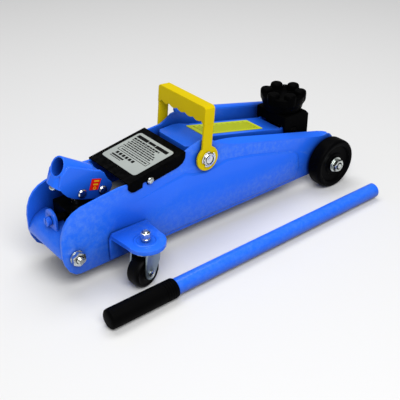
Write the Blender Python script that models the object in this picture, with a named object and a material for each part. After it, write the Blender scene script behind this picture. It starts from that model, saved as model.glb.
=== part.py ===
# Hydraulic trolley jack, built as separate parts in one frame.
# Lengths below are millimetres in the jack's own frame: X runs forward from
# the main pivot, Y across (minus is the near side), Z up from the floor.
# place() turns them into metres about the centre of the whole footprint.
import bpy
import bmesh
import math
from mathutils import Matrix, Vector

# ---------------------------------------------------------------- constants
OX, OY = 22.838, -15.615         # footprint centre in the jack's own frame
SEG = 32                         # facets on large round parts
SEG_S = 24                       # facets on small round parts
GAP = 0.3                        # air between neighbouring pieces

PLATE_IN, PLATE_OUT = 36.5, 39.5  # inner and outer faces of the side plates
EMB = 41.3                        # face of the raised side panel
Z_BOT = 18.8                      # underside of the frame
RAMP, RAMP_END = 22.0, -100.0     # the raised panel fades out over RAMP behind RAMP_END
PIV = (0.0, 106.3)                # main pivot, X and Z
TIE = (-181.4, 42.5)              # rear tie bolt
AXL = (210.0, 34.25)              # front axle
LNK = (10.0, 80.3)                # frame end of the parallel links
PIN = (160.0, 86.0)               # pin at the front of the lift arm
LNK2 = (170.0, 60.0)              # bracket end of the parallel links
SAD_X = 164.5                     # saddle axis
SAD_TOP = 136.5
WHEEL_R, WHEEL_Y0, WHEEL_Y1 = 34.25, 42.4, 60.4
RAM_Z = 66.0
ROL = (-25.8, 69.4)               # roller on the lift arm's lug
SOCK_PIV = (-127.2, 96.9)         # handle socket pivot
SOCK_ROL = (-153.6, 101.7)        # roller pin that pushes the pump plunger
SOCK_TILT = math.radians(32.0)
MOUTH = (-173.3, 136.4)           # centre of the socket's mouth
SOCK_R, BORE_R = 12.3, 10.25
REL_Z = 73.5                      # release valve height
CAST_X, CAST_Y = -113.8, 76.0     # swivel axis
CAST_R, CAST_TRAIL = 19.5, -7.0
CAST_TURN = {"near": math.radians(13.0), "far": 0.0}  # how each caster stands at rest
COV_X0, COV_X1, COV_Z0, COV_Z1 = -110.3, -30.0, 109.6, 123.8
EYE_R = 15.5                      # eyes at the feet of the carry handle
LEVER_A = (-193.0, -118.6, 12.2)
LEVER_B = (231.0, -113.7, 9.75)
GRIP_R, TUBE_R, GRIP_LEN = 11.7, 9.75, 86.0

BLUE = (0.012, 0.105, 0.82)
BLACK = (0.012, 0.012, 0.013)
YELLOW = (0.86, 0.62, 0.0)
CHROME = (0.72, 0.73, 0.74)
ZINC = (0.60, 0.61, 0.62)
CAST_GREY = (0.16, 0.165, 0.17)
RUBBER = (0.014, 0.014, 0.015)
SILVER = (0.62, 0.63, 0.64)
LIME = (0.62, 0.72, 0.02)
RED = (0.75, 0.08, 0.03)


# ------------------------------------------------------------------ helpers
def place(p):
    return ((p[0] - OX) / 1000.0, (p[1] - OY) / 1000.0, p[2] / 1000.0)


def clear_scene():
    for ob in list(bpy.data.objects):
        bpy.data.objects.remove(ob, do_unlink=True)


def make(name, verts, faces, color=None, metallic=0.0, rough=0.4):
    me = bpy.data.meshes.new(name)
    me.from_pydata([place(v) for v in verts], [], faces)
    bm = bmesh.new()
    bm.from_mesh(me)
    bmesh.ops.recalc_face_normals(bm, faces=bm.faces)
    bm.to_mesh(me)
    bm.free()
    ob = bpy.data.objects.new(name, me)
    bpy.context.scene.collection.objects.link(ob)
    if color is not None:
        mat = bpy.data.materials.new(name)
        mat.use_nodes = True
        b = mat.node_tree.nodes["Principled BSDF"]
        b.inputs["Base Color"].default_value = (color[0], color[1], color[2], 1)
        b.inputs["Metallic"].default_value = metallic
        b.inputs["Roughness"].default_value = rough
        me.materials.append(mat)
    return ob


def loft(name, sections, color=None, metallic=0.0, rough=0.4):
    """Closed skin through sections with equal point counts, capped ends."""
    n = len(sections[0])
    verts = [p for s in sections for p in s]
    faces = [list(range(n))]
    for k in range(len(sections) - 1):
        a, b = k * n, (k + 1) * n
        for i in range(n):
            j = (i + 1) % n
            faces.append([a + i, a + j, b + j, b + i])
    last = (len(sections) - 1) * n
    faces.append([last + i for i in range(n)][::-1])
    return make(name, verts, faces, color, metallic, rough)


def prism_y(name, poly, y0, y1, *mat):
    return loft(name, [[(x, y, z) for x, z in poly] for y in (y0, y1)], *mat)


def prism_z(name, poly, z0, z1, *mat):
    return loft(name, [[(x, y, z) for x, y in poly] for z in (z0, z1)], *mat)


def prism_x(name, poly, x0, x1, *mat):
    return loft(name, [[(x, y, z) for y, z in poly] for x in (x0, x1)], *mat)


def box(name, x0, x1, y0, y1, z0, z1, *mat):
    return prism_z(name, [(x0, y0), (x1, y0), (x1, y1), (x0, y1)], z0, z1, *mat)


def frame_of(axis):
    d = Vector(axis).normalized()
    ref = Vector((0, 0, 1)) if abs(d.z) < 0.9 else Vector((1, 0, 0))
    u = d.cross(ref).normalized()
    return d, u, d.cross(u).normalized()


def lathe(name, prof, origin, axis, color=None, metallic=0.0, rough=0.4,
          seg=SEG, ring=False):
    """Turn (radius, height) points about an axis. ring: the profile closes."""
    d, u, v = frame_of(axis)
    o = Vector(origin)
    verts, rows = [], []
    for r, h in prof:
        if r <= 1e-6:
            rows.append([len(verts)])
            verts.append(tuple(o + d * h))
        else:
            row = []
            for i in range(seg):
                a = 2 * math.pi * (i + 0.5) / seg
                row.append(len(verts))
                verts.append(tuple(o + d * h + u * (r * math.cos(a)) + v * (r * math.sin(a))))
            rows.append(row)
    faces = []
    pairs = list(zip(rows, rows[1:]))
    if ring:
        pairs.append((rows[-1], rows[0]))
    for a, b in pairs:
        if len(a) == 1 and len(b) == 1:
            continue
        for i in range(seg):
            j = (i + 1) % seg
            if len(a) == 1:
                faces.append([a[0], b[j], b[i]])
            elif len(b) == 1:
                faces.append([a[i], a[j], b[0]])
            else:
                faces.append([a[i], a[j], b[j], b[i]])
    if not ring:
        if len(rows[0]) > 1:
            faces.append(rows[0][::-1])
        if len(rows[-1]) > 1:
            faces.append(rows[-1])
    return make(name, verts, faces, color, metallic, rough)


def rod(name, x, z, y0, y1, r, color=None, metallic=0.0, rough=0.4, seg=SEG_S,
        cham=0.0):
    """Round bar along Y."""
    L = y1 - y0
    if cham:
        prof = [(r - cham, 0), (r, cham), (r, L - cham), (r - cham, L)]
    else:
        prof = [(r, 0), (r, L)]
    return lathe(name, prof, (x, y0, z), (0, 1, 0), color, metallic, rough, seg)


def washer(name, x, z, y0, y1, r_in, r_out, *mat):
    L = y1 - y0
    return lathe(name, [(r_in, 0), (r_out, 0), (r_out, L), (r_in, L)],
                 (x, y0, z), (0, 1, 0), *mat, seg=SEG_S, ring=True)


def hexagon(af, cx, cz, turn=0.0):
    r = af / math.sqrt(3.0)
    return [(cx + r * math.cos(turn + math.pi / 3 * k),
             cz + r * math.sin(turn + math.pi / 3 * k)) for k in range(6)]


def hex_y(name, x, z, y0, y1, af, *mat, turn=0.0):
    return prism_y(name, hexagon(af, x, z, turn), y0, y1, *mat)


def arc(cx, cz, r, a0, a1, n):
    return [(cx + r * math.cos(math.radians(a0 + (a1 - a0) * k / n)),
             cz + r * math.sin(math.radians(a0 + (a1 - a0) * k / n)))
            for k in range(n + 1)]


def hull2(c1, r1, c2, r2, n=8):
    """Outline of two circles wrapped by a belt."""
    dx, dz = c2[0] - c1[0], c2[1] - c1[1]
    d = math.hypot(dx, dz)
    t = math.degrees(math.atan2(dz, dx))
    b = math.degrees(math.acos((r1 - r2) / d))
    return (arc(c2[0], c2[1], r2, t - b, t + b, n)
            + arc(c1[0], c1[1], r1, t + b, t - b + 360, n))


def hide(ob):
    ob.hide_render = True
    ob.display_type = "WIRE"
    return ob


def combine(ob, other, op):
    hide(other)
    m = ob.modifiers.new(other.name, "BOOLEAN")
    m.operation = op
    m.solver = "EXACT"
    m.object = other
    return ob


def cut(ob, *others):
    for o in others:
        combine(ob, o, "DIFFERENCE")
    return ob


def join(ob, *others):
    for o in others:
        combine(ob, o, "UNION")
    return ob


PAINT = (BLUE, 0.0, 0.28)
STEEL = (CHROME, 1.0, 0.25)
ZN = (ZINC, 1.0, 0.35)
DARK = (BLACK, 0.0, 0.45)

clear_scene()

# ------------------------------------------------------------- side plates
NEAR_TOP = [(208.0, 67.0), (54.8, 105.0), (33.0, 111.4), (20.0, 116.8), (12.0, 125.0),
            (6.0, 129.0), (-2.0, 130.4), (-10.0, 129.0), (-22.0, 125.4), (-31.0, 121.6)]
FAR_TOP = [(224.0, 72.0), (214.0, 84.0), (203.0, 90.4), (15.0, 132.8),
           (8.0, 132.0), (2.0, 128.0), (-8.0, 123.0), (-31.0, 121.2)]
REAR = [(-108.0, 107.4), (-120.6, 108.0), (-144.0, 105.5), (-158.7, 103.4),
        (-170.8, 101.6), (-180.4, 98.0), (-187.5, 92.8), (-192.8, 85.5),
        (-196.6, 76.0), (-198.3, 66.0), (-198.5, 47.0), (-196.2, 36.5),
        (-191.0, 26.0), (-184.0, 20.2), (-178.0, Z_BOT)]
FRONT = [(214.0, Z_BOT), (223.0, 25.0), (228.5, 36.0), (229.0, 48.0),
         (225.6, 59.0), (223.2, 64.6), (219.2, 69.0), (213.0, 71.2)]
RAISED = [(-124.0, 22.5), (-124.0, 60.0), (-120.0, 74.0), (-110.0, 81.6),
          (-30.0, 95.6), (-17.0, 90.4), (0.0, 88.0), (17.0, 90.0),
          (36.0, 92.2), (78.0, 84.4), (150.0, 65.8), (159.0, 58.0),
          (161.5, 38.0), (156.0, 22.5)]


def shrink(poly, d):
    """Move each corner inwards by d along both neighbouring edges."""
    n = len(poly)
    area = sum(poly[i][0] * poly[(i + 1) % n][1] - poly[(i + 1) % n][0] * poly[i][1]
               for i in range(n))
    s = 1.0 if area > 0 else -1.0
    out = []
    for i in range(n):
        p0, p1, p2 = Vector(poly[i - 1]), Vector(poly[i]), Vector(poly[(i + 1) % n])
        e0, e1 = (p1 - p0).normalized(), (p2 - p1).normalized()
        n0, n1 = Vector((-e0.y, e0.x)) * s, Vector((-e1.y, e1.x)) * s
        m = (n0 + n1).normalized()
        q = p1 + m * (d / max(0.35, m.dot(n0)))
        out.append((q.x, q.y))
    return out


def lip_line(a, b):
    """Place of a point t along the line a to b, h above it, at depth y."""
    L = math.hypot(b[0] - a[0], b[1] - a[1])
    ux, uz = (b[0] - a[0]) / L, (b[1] - a[1]) / L
    return L, lambda t, h, y: (a[0] + ux * t - uz * h, y, a[1] + uz * t + ux * h)


def rolled_out(name, a, b, side, width, taper):
    """Lip rolled outwards through a right angle along the plate's sloping top edge."""
    L, at = lip_line(a, b)
    R = 4.5

    def section(t, w):
        pts = [(PLATE_IN, -9.0), (PLATE_IN, -R)]
        for k in range(1, 4):
            q = math.pi / 2 * k / 3
            pts.append((PLATE_IN + R * (1 - math.cos(q)), -R + R * math.sin(q)))
        pts += [(PLATE_IN + R + w, 0.0), (PLATE_IN + R + w, -3.0), (PLATE_OUT + R - 3.0, -3.0),
                (PLATE_OUT, -R), (PLATE_OUT, -9.0)]
        return [at(t, h, side * y) for y, h in pts]

    return loft(name, [section(t, w) for t, w in
                       ((0.0, 0.6), (taper, width), (L - 14.0, width), (L, width * 0.45))])


def folded_in(name, a, b, side):
    """Flat lip folded inwards, a wedge that widens from a point at its rear end."""
    L, at = lip_line(a, b)
    thick = PLATE_OUT - PLATE_IN

    def section(t, run, rise):
        turn = math.atan2(run, rise)
        tip_y, tip_h = PLATE_OUT - run, 0.0
        pts = [(PLATE_OUT, -rise - 9.0), (PLATE_OUT, -rise), (tip_y, tip_h),
               (tip_y - thick * math.cos(turn), tip_h - thick * math.sin(turn)),
               (PLATE_IN, -rise - thick * math.tan(turn / 2)), (PLATE_IN, -rise - 9.0)]
        return [at(t, h, side * y) for y, h in pts]

    return loft(name, [section(*row) for row in
                       ((0.0, 0.5, 0.4), (12.0, 3.6, 2.9), (26.0, 6.2, 5.0), (44.0, 7.5, 5.9),
                        (L - 14.0, 7.2, 5.4), (L - 5.0, 5.4, 4.0), (L, 2.0, 1.6))])


def side_plate(name, side):
    top = NEAR_TOP if side < 0 else FAR_TOP
    front = FRONT if side < 0 else FRONT[:-4]
    poly = front + top + REAR
    ob = prism_y(name, poly, side * PLATE_IN, side * PLATE_OUT, *PAINT)
    outer = [(x, side * (PLATE_OUT - 1.0), z) for x, z in RAISED]
    mid = [(x, side * PLATE_OUT, z) for x, z in RAISED]
    face = [(x + (RAMP if x < RAMP_END else 0.0), side * EMB, z)
            for x, z in shrink(RAISED, 2.6)]
    join(ob, loft(name + "_raised", [outer, mid, face]))
    if side < 0:
        lip = folded_in(name + "_lip", (13.0, 123.2), (213.2, 73.0), side)
    else:
        lip = rolled_out(name + "_lip", (15.0, 136.6), (203.5, 94.0), side, 3.0, 8.0)
    join(ob, lip)
    return ob


near = side_plate("side_plate_near", -1.0)
far = side_plate("side_plate_far", 1.0)
for side, ob in ((-1.0, near), (1.0, far)):
    y0, y1 = side * 30.0, side * 50.0
    for k, (p, r) in enumerate(((PIV, 8.3), (TIE, 4.3), (AXL, 7.3),
                                ((-80.7, 104.2), 2.5))):
        cut(ob, rod("hole_%s_%d" % (ob.name, k), p[0], p[1], min(y0, y1), max(y0, y1),
                    r, seg=SEG_S))

# --------------------------------------------------------- rear crossbar
bar = prism_y("rear_crossbar",
              [(-198.5, 44.0), (-198.5, 49.0), (-195.5, 57.0), (-190.0, 63.4),
               (-182.0, 67.4), (-174.0, 69.0), (-174.0, 66.0), (-181.0, 64.5),
               (-188.0, 61.0), (-193.0, 55.4), (-195.5, 48.6), (-195.5, 44.0)],
              -PLATE_IN + GAP, PLATE_IN - GAP, *PAINT)
ear = prism_x("ear", [(-12.0, 61.5), (12.0, 61.5)] + arc(0.0, 75.0, 12.0, 0, 180, 10),
              -188.4, -185.4)
join(bar, ear)
cut(bar, lathe("ear_hole", [(4.3, -4), (4.3, 12)], (-191.0, 0.0, REL_Z), (1, 0, 0),
               seg=SEG_S))

rod("tie_bolt", TIE[0], TIE[1], -51.0, 51.0, 4.0, *ZN, cham=0.6)
for side, nm in ((-1, "near"), (1, "far")):
    y0, y1 = sorted((side * (PLATE_OUT + GAP), side * (PLATE_OUT + 7.0)))
    nut = hex_y("tie_nut_" + nm, TIE[0], TIE[1], y0, y1, 15.5, *ZN)
    cut(nut, rod("tie_nut_hole_" + nm, TIE[0], TIE[1], y0 - 2, y1 + 2, 4.3, seg=SEG_S))

# ------------------------------------------------------ front axle, wheels
lathe("front_axle",
      [(3.6, -70.0), (4.2, -69.4), (4.2, -60.9), (7.0, -60.9), (7.0, 60.9),
       (4.2, 60.9), (4.2, 69.4), (3.6, 70.0)],
      (AXL[0], 0.0, AXL[1]), (0, 1, 0), *ZN, seg=SEG_S)
for side, nm in ((-1, "near"), (1, "far")):
    w = WHEEL_Y1 - WHEEL_Y0
    lathe("front_wheel_" + nm,
          [(7.3, 0.0), (31.4, 0.0), (33.4, 0.9), (WHEEL_R, 2.8),
           (WHEEL_R, w - 4.4), (33.7, w - 2.4), (31.6, w - 0.7), (27.0, w - 0.4),
           (17.0, w - 2.4), (13.6, w - 0.4), (7.3, w - 0.4)],
          (AXL[0], side * WHEEL_Y0, AXL[1]), (0, side, 0), BLACK, 0.0, 0.35,
          seg=48, ring=True)
    y0, y1 = sorted((side * 61.2, side * 62.8))
    washer("axle_washer_" + nm, AXL[0], AXL[1], y0, y1, 4.5, 10.5, *ZN)
    y0, y1 = sorted((side * 63.1, side * 69.0))
    nut = hex_y("axle_nut_" + nm, AXL[0], AXL[1], y0, y1, 15.0, *ZN, turn=0.3)
    cut(nut, rod("axle_nut_hole_" + nm, AXL[0], AXL[1], y0 - 2, y1 + 2, 4.5, seg=SEG_S))

# ------------------------------------------------------------------ cover
slope = (COV_Z1 - COV_Z0) / (COV_X1 - COV_X0)
side_poly = [(COV_X0, 101.6), (-106.5, 97.4), (-102.0, 96.6), (-91.6, 98.6),
             (-90.6, 104.0), (-85.4, 104.6), (-84.4, 99.8), (-77.8, 100.8),
             (-58.2, 104.2), (-42.2, 107.0), (-34.6, 110.4), (-30.6, 116.0),
             (COV_X1, COV_Z1), (COV_X0, COV_Z0)]
cov = prism_y("cover", side_poly, -41.0, 41.0, *DARK)
inner = [(COV_X0 - 5, 80.0), (COV_X1 + 5, 80.0),
         (COV_X1 + 5, COV_Z1 + slope * 5 - 1.25), (COV_X0 - 5, COV_Z0 - slope * 5 - 1.25)]
cut(cov, prism_y("cover_inner", inner, -39.8, 39.8))
for side, nm in ((-1, "near"), (1, "far")):
    cut(cov, rod("cover_hole_" + nm, -80.7, 104.2, min(side * 36, side * 44),
                 max(side * 36, side * 44), 2.5, seg=SEG_S))
    lathe("cover_screw_" + nm,
          [(2.2, 0.0), (2.2, 6.3), (4.2, 6.3), (4.2, 7.3), (2.6, 8.5)],
          (-80.7, side * 35.0, 104.2), (0, side, 0), *ZN, seg=SEG_S)

tilt = math.atan(slope)


def on_cover(x, y, h):
    return (x - math.sin(tilt) * h, y, COV_Z0 + (x - COV_X0) * slope + math.cos(tilt) * h)


def sheet_on(name, fn, x0, x1, y0, y1, h0, h1, r, *mat):
    pts = []
    for cx, cy, a in ((x1 - r, y1 - r, 0), (x0 + r, y1 - r, 90), (x0 + r, y0 + r, 180),
                      (x1 - r, y0 + r, 270)):
        for k in range(4):
            q = math.radians(a + 30 * k)
            pts.append((cx + r * math.cos(q), cy + r * math.sin(q)))
    return loft(name, [[fn(x, y, h) for x, y in pts] for h in (h0, h1)], *mat)


sheet_on("cover_label", on_cover, -97.0, -40.0, -33.5, 34.5, 0.25, 0.6, 4.0,
         SILVER, 0.6, 0.35)

# -------------------------------------------------- pump block, cylinder, ram
block = box("pump_block", -171.5, -118.0, -24.0, 24.0, 37.0, 84.0, *DARK)
for s in (-1, 1):
    y0, y1 = sorted((s * 5.8, s * 10.2))
    p = [(-138.0, 82.0), (-118.2, 82.0)] + arc(SOCK_PIV[0], SOCK_PIV[1], 8.0, 0, 190, 8)
    join(block, prism_y("block_ear_%d" % s, p, y0, y1))
cut(block,
    lathe("plunger_bore", [(5.8, 0), (5.8, 50)], (-154.6, 0.0, 55.0), (0, 0, 1), seg=SEG_S),
    rod("ear_bore", SOCK_PIV[0], SOCK_PIV[1], -14, 14, 4.3, seg=SEG_S),
    lathe("release_bore", [(4.3, -6), (4.3, 10.5)], (-171.5, 0.0, REL_Z), (1, 0, 0),
          seg=SEG_S))
lathe("cylinder",
      [(0, 0), (22.0, 0), (22.0, 57.0), (24.0, 57.5), (24.0, 68.0), (22.5, 69.5),
       (11.3, 69.5), (11.3, 5.0), (0, 5.0)],
      (-117.7, 0.0, RAM_Z), (1, 0, 0), CAST_GREY, 0.3, 0.45)
ram = lathe("ram", [(10.4, -110.0), (11.0, -109.4), (11.0, -44.6), (10.0, -43.6)],
            (0.0, 0.0, RAM_Z), (1, 0, 0), *STEEL)
join(ram, box("ram_tongue", -47.0, -32.6, -6.8, 6.8, 57.5, 76.0))

rel = lathe("release_valve", [(3.4, 0.0), (4.0, 0.6), (4.0, 21.0), (3.0, 24.0)],
            (-186.2, 0.0, REL_Z), (1, 0, 0), *PAINT, seg=SEG_S)
join(rel, lathe("release_head", [(4.6, 0), (5.4, 0.8), (5.4, 5.4)],
                (-194.4, 0.0, REL_Z), (1, 0, 0), seg=SEG_S),
     lathe("release_neck", [(4.0, 0), (4.0, 4.6)], (-190.0, 0.0, REL_Z), (1, 0, 0), seg=SEG_S))
cut(rel, box("release_slot", -196.0, -192.2, -0.9, 0.9, REL_Z - 7, REL_Z + 7))

lathe("pump_plunger", [(5.0, 0), (5.5, 0.5), (5.5, 33.4), (4.6, 34.5)],
      (-154.6, 0.0, SOCK_ROL[1] - 4.0 - 0.45 - 34.5), (0, 0, 1), *STEEL, seg=SEG_S)

# ------------------------------------------------------------ handle socket
ct, st = math.cos(SOCK_TILT), math.sin(SOCK_TILT)
AX = (ct, 0.0, -st)                       # from the mouth down into the socket
sock = lathe("handle_socket", [(SOCK_R, 0.0), (SOCK_R, 41.0), (SOCK_R - 1.0, 42.0)],
             (MOUTH[0], 0.0, MOUTH[1]), AX, *PAINT)
cheek = [(-115.6, 93.4), (-113.9, 98.0), (-114.4, 102.2), (-118.6, 106.8),
         (-120.8, 111.4), (-123.0, 117.0), (-127.6, 121.6), (-134.0, 123.6),
         (-166.0, 139.0), (-176.0, 131.0), (-180.4, 118.6),
         (-176.6, 109.8), (-171.2, 103.0), (-163.5, 97.6), (-154.0, 93.4),
         (-143.0, 90.0), (-130.0, 86.8), (-122.0, 86.8)]
for s in (-1, 1):
    y0, y1 = sorted((s * 10.6, s * 13.6))
    join(sock, prism_y("cheek_%d" % s, cheek, y0, y1))
hood = [(-142.0, 127.0), (-134.0, 122.4), (-124.0, 116.0), (-118.4, 106.0), (-115.6, 99.0),
        (-118.6, 98.2), (-121.2, 104.4), (-126.2, 113.2), (-135.4, 119.0), (-143.0, 124.0)]
join(sock, prism_y("hood", hood, -12.0, 12.0))
nose = [(12.0, -13.6), (6.5, -13.3), (2.0, -10.0), (0.4, -5.0), (0.4, 5.0), (2.0, 10.0),
        (6.5, 13.3), (12.0, 13.6)]
join(sock, loft("socket_nose", [[(MOUTH[0] + ct * u - st * w, y, MOUTH[1] - st * u - ct * w)
                                 for u, y in nose] for w in (4.0, 22.5)]))
cut(sock,
    lathe("socket_bore", [(BORE_R, -6.0), (BORE_R, 38.0)], (MOUTH[0], 0.0, MOUTH[1]), AX),
    rod("socket_pin_hole", SOCK_PIV[0], SOCK_PIV[1], -20, 20, 4.3, seg=SEG_S),
    rod("socket_roller_hole", SOCK_ROL[0], SOCK_ROL[1], -20, 20, 4.3, seg=SEG_S))
dwn = (-st, 0.0, -ct)
bx = MOUTH[0] + ct * 6.0
bz = MOUTH[1] - st * 6.0
cut(sock, lathe("clamp_hole", [(3.3, 5.0), (3.3, 30.0)], (bx, 0.0, bz), dwn, seg=SEG_S))
lathe("socket_clamp_bolt",
      [(3.0, 10.4), (3.0, 22.8), (4.0, 22.8), (4.0, 25.4), (3.0, 26.6)],
      (bx, 0.0, bz), dwn, *ZN, seg=SEG_S)
for nm, p in (("socket_pivot_pin", SOCK_PIV), ("socket_roller_pin", SOCK_ROL)):
    lathe(nm, [(3.6, -14.3), (4.0, -13.9), (4.0, 14.2), (5.2, 14.2), (5.2, 15.6), (3.4, 16.8)],
          (p[0], 0.0, p[1]), (0, -1, 0), *STEEL, seg=SEG_S)


prism_y("socket_label", [(-139.5, 115.0), (-128.0, 111.5), (-133.4, 99.4), (-144.4, 102.6)],
        -14.15, -13.85, RED, 0.0, 0.4)

# ----------------------------------------------------------------- lift arm
A_TOP = [(-19.0, 120.8), (12.0, 122.2), (142.0, 93.2)]
A_END = arc(PIN[0], PIN[1], 11.0, 78, -90, 8)
A_BOT = [(135.0, 78.6), (60.0, 84.0), (22.0, 86.6), (10.0, 90.4), (0.0, 89.3),
         (-11.0, 93.0), (-17.6, 101.0), (-19.0, 110.0)]
PLAN = [(-19.0, -25.0), (-15.0, -29.5), (4.0, -29.5), (20.0, -22.2), (174.0, -22.2)]


def full(half):
    return half + [(x, -y) for x, y in reversed(half)]


arm = prism_y("lift_arm", A_TOP + A_END + A_BOT, -30.0, 30.0, *PAINT)
combine(arm, prism_z("arm_plan", full(PLAN), 60.0, 130.0), "INTERSECT")
plan_in = full([(-15.8, -23.8), (-13.6, -26.5), (3.3, -26.5), (19.3, -19.2), (180.0, -19.2)])
arm_in = prism_z("arm_inner", plan_in, 50.0, 118.0)
under = [(-30.0, 60.0), (-30.0, 117.2), (12.0, 119.1), (180.0, 81.52), (180.0, 60.0)]
combine(arm_in, prism_y("arm_under", under, -40.0, 40.0), "INTERSECT")
cut(arm, arm_in)
cut(arm, box("arm_fork", 142.0, 180.0, -19.2, 19.2, 60.0, 120.0))
join(arm, rod("arm_boss", PIV[0], PIV[1], -29.0, 29.0, 12.5, seg=SEG_S))
for s in (-1, 1):
    y0, y1 = sorted((s * 7.6, s * 11.0))
    join(arm, prism_y("arm_lug_%d" % s, hull2(PIV, 11.6, ROL, 9.0), y0, y1))
cut(arm,
    rod("arm_pivot_hole", PIV[0], PIV[1], -40, 40, 8.3, seg=SEG_S),
    rod("arm_roller_hole", ROL[0], ROL[1], -20, 20, 6.3, seg=SEG_S),
    rod("arm_pin_hole", PIN[0], PIN[1], -40, 40, 6.3, seg=SEG_S))
rod("ram_roller", ROL[0], ROL[1], -12.4, 12.4, 6.0, *STEEL, cham=0.6)
rod("saddle_pin", PIN[0], PIN[1], -27.8, 27.8, 6.0, *STEEL, cham=0.8)

a_slope = (A_TOP[2][1] - A_TOP[1][1]) / (A_TOP[2][0] - A_TOP[1][0])
a_tilt = math.atan(a_slope)


def on_arm(x, y, h):
    return (x - math.sin(a_tilt) * h, y,
            A_TOP[1][1] + (x - A_TOP[1][0]) * a_slope + math.cos(a_tilt) * h)


sheet_on("arm_label", on_arm, 14.0, 115.0, -16.0, 16.0, 0.25, 0.6, 1.5, LIME, 0.0, 0.4)

# -------------------------------------------------- saddle bracket, saddle
side_b = ([(143.5, 110.0), (143.5, 96.0), (148.0, 82.0), (158.0, 62.0)]
          + arc(LNK2[0], LNK2[1], 9.0, 200, 340, 6)
          + [(187.0, 76.0), (187.0, 104.5), (181.5, 110.0)])
brk = prism_y("saddle_bracket", side_b, -27.0, 27.0, *DARK)
hollow = [(120.0, 40.0), (200.0, 40.0), (200.0, 99.4), (147.0, 99.4), (147.0, 95.4),
          (120.0, 95.4)]
cut(brk, prism_y("bracket_hollow", hollow, -22.5, 22.5),
    lathe("bracket_socket", [(9.3, 0), (9.3, 30)], (SAD_X, 0, 95.0), (0, 0, 1), seg=SEG_S),
    rod("bracket_pin_hole", PIN[0], PIN[1], -40, 40, 6.3, seg=SEG_S),
    rod("bracket_link_hole", LNK2[0], LNK2[1], -40, 40, 4.3, seg=SEG_S))
rod("link_pin", LNK2[0], LNK2[1], -28.4, 28.4, 4.0, *STEEL, cham=0.6)
sad = lathe("saddle",
            [(0, 101.0), (9.0, 101.0), (9.0, 110.3), (24.6, 110.3), (25.8, 113.6),
             (26.6, 117.4), (28.2, 121.4), (28.6, 125.0), (28.6, 129.8), (27.4, 131.0),
             (21.4, 131.0), (20.0, 127.4), (0, 127.4)],
            (SAD_X, 0.0, 0.0), (0, 0, 1), *DARK)
for k in range(6):
    a0 = math.radians(10 + 60 * k)
    lug = []
    for z, rad, out in ((118.4, 5.6, 21.2), (123.0, 8.2, 22.0), (133.2, 8.2, 22.0),
                        (135.6, 7.4, 21.8), (SAD_TOP, 5.8, 21.4)):
        cx, cy = SAD_X + out * math.cos(a0), out * math.sin(a0)
        lug.append([(x, y, z) for x, y in arc(cx, cy, rad, 0, 330, 11)])
    join(sad, loft("saddle_lug_%d" % k, lug))

# ------------------------------------------------------------- link rods
for s, nm in ((-1, "near"), (1, "far")):
    y0, y1 = sorted((s * 13.4, s * 16.4))
    lk = prism_y("link_rod_" + nm, hull2(LNK, 7.0, LNK2, 7.0, 6), y0, y1, *ZN)
    waist = hull2((28.0, LNK[1] - 2.28 + 11.0), 6.0, (152.0, LNK2[1] + 2.28 + 11.0), 6.0, 4)
    waist2 = hull2((28.0, LNK[1] - 2.28 - 11.0), 6.0, (152.0, LNK2[1] + 2.28 - 11.0), 6.0, 4)
    cut(lk, prism_y("link_waist_a_" + nm, waist, y0 - 2, y1 + 2),
        prism_y("link_waist_b_" + nm, waist2, y0 - 2, y1 + 2),
        rod("link_hole_a_" + nm, LNK[0], LNK[1], y0 - 2, y1 + 2, 4.3, seg=SEG_S),
        rod("link_hole_b_" + nm, LNK2[0], LNK2[1], y0 - 2, y1 + 2, 4.3, seg=SEG_S))
    lathe("link_stub_" + nm,
          [(3.6, 0.0), (4.0, 0.5), (4.0, 3.6), (4.0, 4.0), (6.4, 4.0), (6.4, 22.0),
           (8.4, 22.0), (8.4, 23.3)],
          (LNK[0], s * 12.9, LNK[1]), (0, s, 0), *STEEL, seg=SEG_S)

# ------------------------------------------------------ pivot shaft and bail
rod("pivot_shaft", PIV[0], PIV[1], -48.2, 48.2, 8.0, *STEEL, cham=1.0, seg=SEG)
for s, nm in ((-1, "near"), (1, "far")):
    y0, y1 = sorted((s * 45.5, s * 46.9))
    washer("pivot_ring_" + nm, PIV[0], PIV[1], y0, y1, 8.3, 10.2, *STEEL)

lean = math.radians(-5.0)


def leaned(name, poly, y0, y1, *mat):
    c, s = math.cos(lean), math.sin(lean)
    pts = [(PIV[0] + x * c - h * s, PIV[1] + x * s + h * c) for x, h in poly]
    return prism_y(name, pts, y0, y1, *mat)


leg = [(4.6, 14.8), (4.6, 55.0), (-9.2, 55.0), (-9.2, 12.5)]
leg = leg + arc(0, 0, EYE_R, 133, 427, 18)
bail = leaned("carry_handle", leg, -45.0, -41.8, YELLOW, 0.0, 0.4)
join(bail, leaned("bail_leg_far", leg, 41.8, 45.0))
low = []
n_scallop, half_w = 5, 38.0
for k in range(n_scallop):
    y_a = -half_w + 2 * half_w * k / n_scallop
    y_b = -half_w + 2 * half_w * (k + 1) / n_scallop
    for j in range(5):
        f = j / 5.0
        low.append((y_a + (y_b - y_a) * f, 47.2 - 2.2 * math.sin(math.pi * f)))
low.append((half_w, 47.2))
strap = [(45.2, 44.0), (45.2, 63.4), (42.4, 65.8), (-42.4, 65.8), (-45.2, 63.4), (-45.2, 44.0),
         (-41.6, 44.0)] + low + [(41.6, 44.0)]
c, s = math.cos(lean), math.sin(lean)
secs = []
for x in (-9.5, 4.8):
    secs.append([(PIV[0] + x * c - h * s, y, PIV[1] + x * s + h * c) for y, h in strap])
join(bail, loft("bail_strap", secs))
cut(bail, rod("bail_bore", PIV[0], PIV[1], -60, 60, 8.3, seg=SEG))

# ------------------------------------------------------------------ casters
def swivelled(cy, angle, *obs):
    """Turn pieces about a caster's upright axis."""
    c = Vector(place((CAST_X, cy, 0.0)))
    m = Matrix.Translation(c) @ Matrix.Rotation(angle, 4, "Z") @ Matrix.Translation(-c)
    for ob in obs:
        ob.data.transform(m)


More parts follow.
